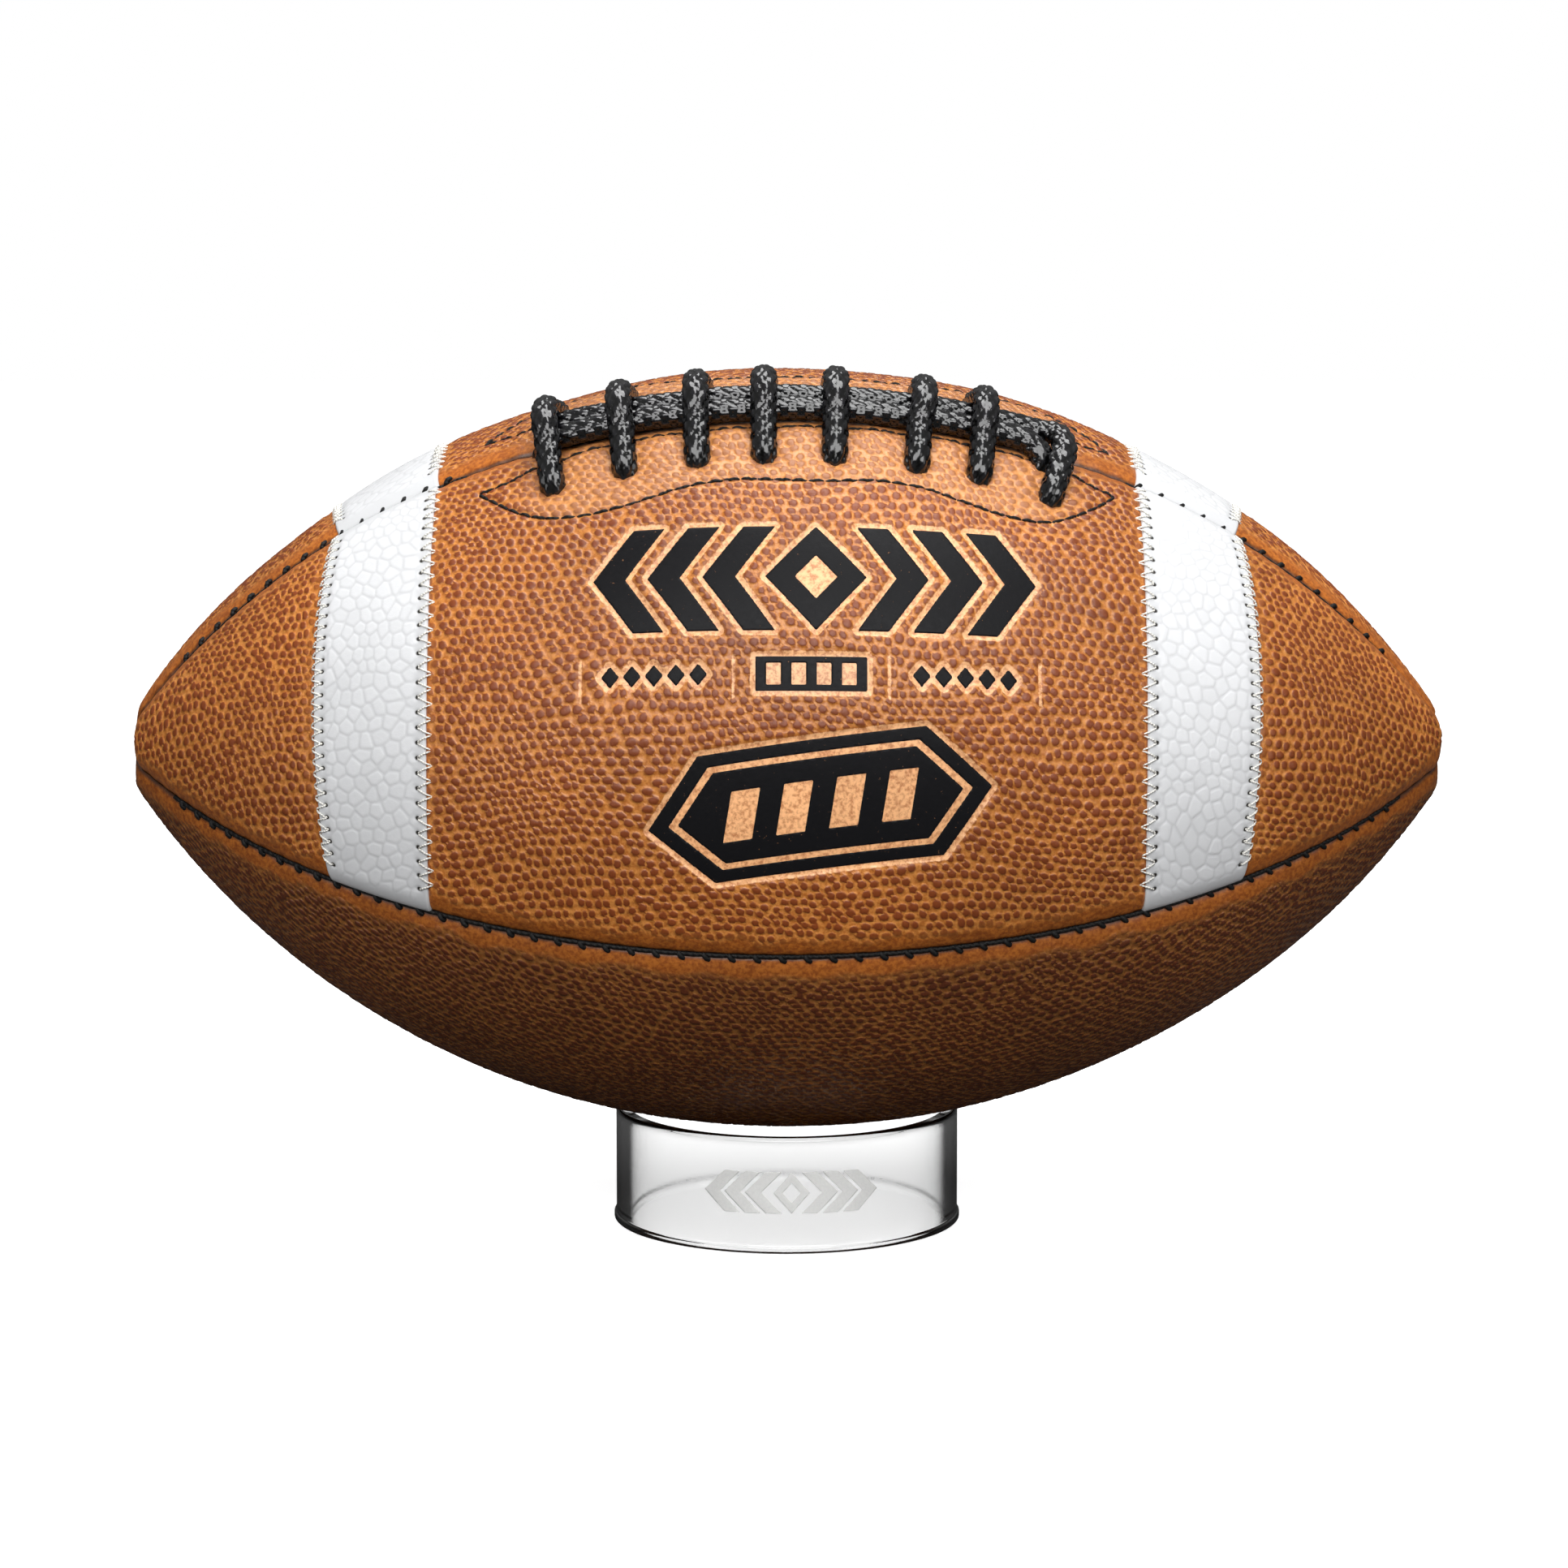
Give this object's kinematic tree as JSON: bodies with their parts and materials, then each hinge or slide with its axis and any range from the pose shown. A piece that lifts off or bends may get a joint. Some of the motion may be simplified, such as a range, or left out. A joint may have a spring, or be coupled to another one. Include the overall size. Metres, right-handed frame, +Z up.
{
  "type": "display football on ring stand",
  "caption": "Full-size laced leather football that rests, and lifts off, on a short clear acrylic ring stand.",
  "frame": {"origin": "centre of the ring stand's underside", "axes": "+Z up, +X along the ball's long axis, the lacing faces the front (-Y) and up"},
  "size_m": [0.288, 0.167, 0.1925],
  "materials": {
    "clear_acrylic": "polished",
    "pebbled_leather": "satin",
    "stripe_leather": "satin",
    "lining_cloth": "matte",
    "backing_leather": "matte",
    "bladder_rubber": "satin",
    "valve_rubber": "satin",
    "lace_black": "gloss",
    "thread_black": "matte"
  },
  "bodies": {
    "stand": {"display_ring": "clear_acrylic"},
    "ball": {"front_panel": "pebbled_leather", "top_panel": "pebbled_leather", "rear_panel": "pebbled_leather", "bottom_panel": "pebbled_leather", "front_lining": "lining_cloth", "top_lining": "lining_cloth", "rear_lining": "lining_cloth", "bottom_lining": "lining_cloth", "stripe_front_left": "stripe_leather", "stripe_front_right": "stripe_leather", "lace_facing_front": "backing_leather", "stripe_top_left": "stripe_leather", "stripe_top_right": "stripe_leather", "lace_facing_top": "backing_leather", "lace_tongue": "backing_leather", "bladder": "bladder_rubber", "valve_housing": "valve_rubber", "valve_insert": "valve_rubber", "lace": "lace_black", "seam_thread_front": "thread_black", "seam_thread_rear": "thread_black", "seam_thread_bottom": "thread_black", "seam_thread_lace_left": "thread_black", "seam_thread_lace_right": "thread_black"}
  },
  "joints": [
    {"name": "ball_lift", "type": "slide", "parent": "stand", "child": "ball", "axis": [0, 0, 1], "range_m": [0, 0.1]}
  ]
}
